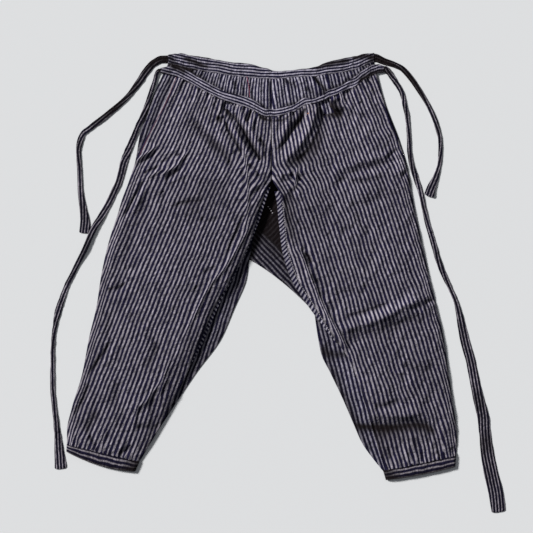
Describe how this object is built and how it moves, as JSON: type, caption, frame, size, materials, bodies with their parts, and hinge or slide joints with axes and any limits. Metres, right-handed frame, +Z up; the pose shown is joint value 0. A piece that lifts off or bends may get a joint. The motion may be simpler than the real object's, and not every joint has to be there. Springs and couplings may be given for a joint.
{
  "type": "monpe work trousers",
  "caption": "Wide East Asian work trousers of striped cotton with split sides, gathered waistbands, long tie strings and gathered cuffs, laid flat on their back.",
  "frame": {"origin": "on the surface the garment lies on, below the middle of its bounding box", "axes": "+Z up off the surface through the cloth, +Y towards the waist, +X towards the wearer's left side"},
  "size_m": [0.9587, 0.968, 0.0193],
  "materials": {
    "front_cloth": "plain-woven cotton, even stripes of navy and warm grey, soft and matte",
    "back_cloth": "the same striped cotton, in the shade of the front",
    "band_cloth": "the same cotton folded into a band, stripes along it, gathers beneath",
    "cuff_cloth": "the same cotton folded into a gathered cuff",
    "tie_cloth": "the same cotton folded into a narrow string, mostly navy with thin grey stripes along it"
  },
  "bodies": {
    "root": {"back_leg_right": "back_cloth", "back_leg_left": "back_cloth", "seat_gusset": "back_cloth", "gusset_strip_right": "back_cloth", "gusset_strip_left": "back_cloth", "front_leg_right": "front_cloth", "front_leg_left": "front_cloth", "back_waistband": "band_cloth", "front_waistband": "band_cloth", "cuff_right": "cuff_cloth", "cuff_left": "cuff_cloth", "back_tie_right": "tie_cloth", "front_tie_right": "tie_cloth", "back_tie_left": "tie_cloth", "front_tie_left": "tie_cloth"}
  },
  "joints": []
}
